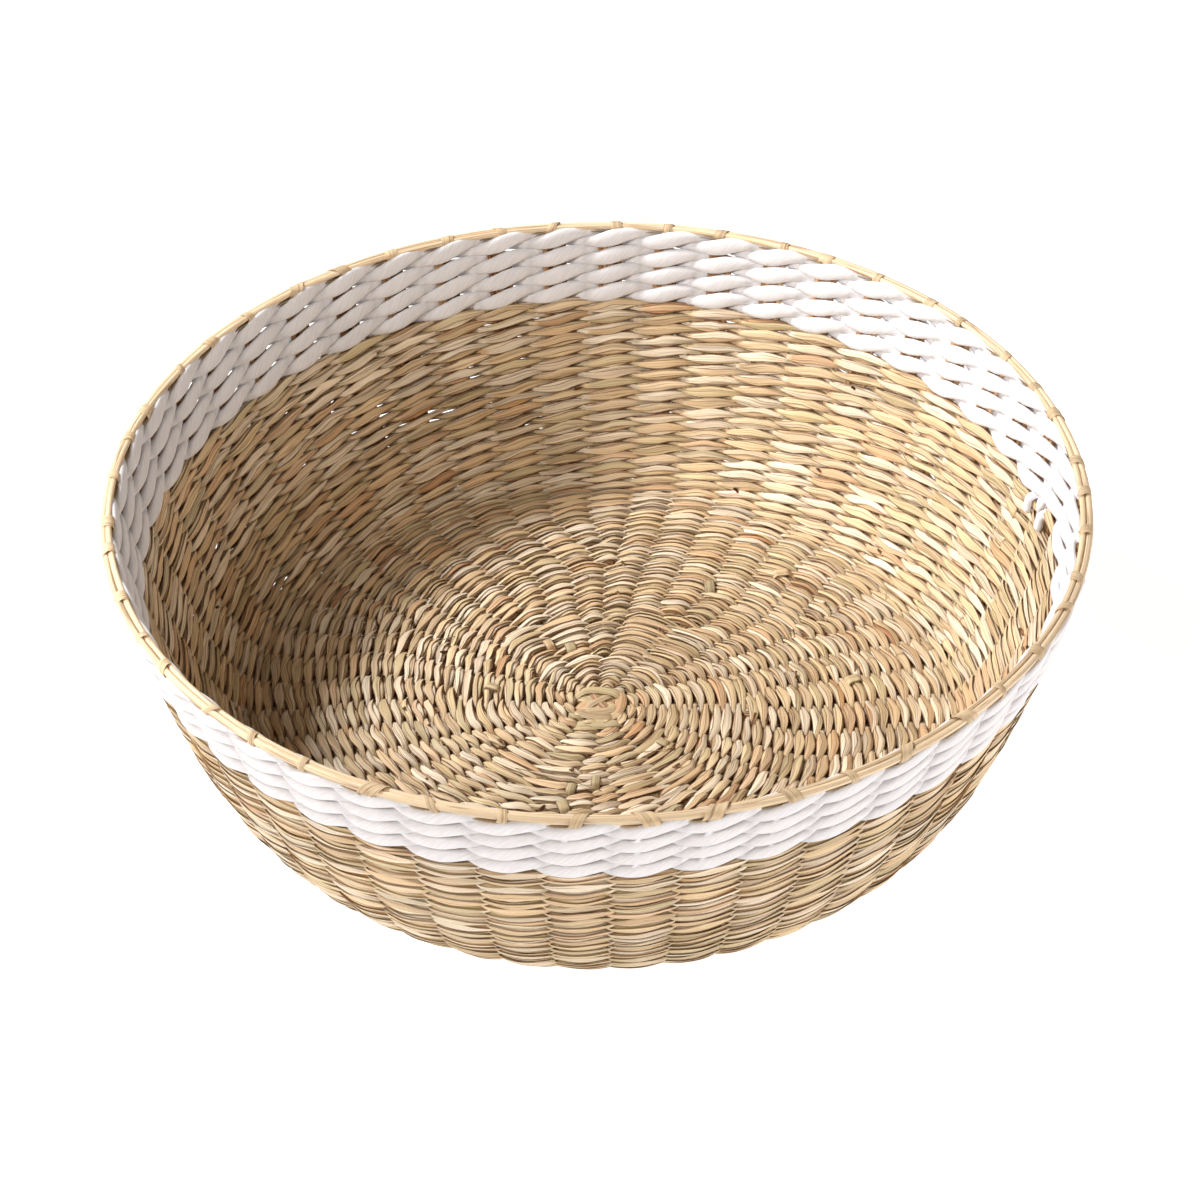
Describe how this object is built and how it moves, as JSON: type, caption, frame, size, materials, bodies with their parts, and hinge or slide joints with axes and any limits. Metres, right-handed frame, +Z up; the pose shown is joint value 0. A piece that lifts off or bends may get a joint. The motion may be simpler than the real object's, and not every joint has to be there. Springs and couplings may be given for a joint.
{
  "type": "basket",
  "caption": "Shallow round basket bowl, twined from flat grass over radial stakes, with a white rope band and a laced border below its open rim, for fruit, bread or small things.",
  "frame": {"origin": "centre of the flat underside, which rests on z = 0", "axes": "+Z up through the open rim, +X and +Y across the bowl"},
  "size_m": [0.3792, 0.3792, 0.118],
  "materials": {
    "weft_grass": "dry woven grass blades",
    "stake_grass": "dry fibrous grass bundle",
    "tie_grass": "dry wide grass blade",
    "rope": "soft twisted white rope",
    "border_grass": "dry grass bundle, laced"
  },
  "bodies": {
    "root": {"border_bundle": "border_grass", "border_lacing": "border_grass", "centre_tie_lower": "tie_grass", "centre_tie_upper": "tie_grass", "rope_strand_1": "rope", "rope_strand_2": "rope", "stake_first_set_1": "stake_grass", "stake_first_set_2": "stake_grass", "stake_first_set_3": "stake_grass", "stake_first_set_4": "stake_grass", "stake_first_set_5": "stake_grass", "stake_first_set_6": "stake_grass", "stake_long_1": "stake_grass", "stake_long_2": "stake_grass", "stake_long_3": "stake_grass", "stake_long_4": "stake_grass", "stake_long_5": "stake_grass", "stake_long_6": "stake_grass", "stake_second_set_1": "stake_grass", "stake_second_set_2": "stake_grass", "stake_second_set_3": "stake_grass", "stake_second_set_4": "stake_grass", "stake_second_set_5": "stake_grass", "stake_second_set_6": "stake_grass", "stake_third_set_1": "stake_grass", "stake_third_set_2": "stake_grass", "stake_third_set_3": "stake_grass", "stake_third_set_4": "stake_grass", "stake_third_set_5": "stake_grass", "stake_third_set_6": "stake_grass", "weft_base_inside": "weft_grass", "weft_base_outside": "weft_grass", "weft_foot_inside": "weft_grass", "weft_foot_outside": "weft_grass", "weft_side_inside": "weft_grass", "weft_side_outside": "weft_grass"}
  },
  "joints": []
}
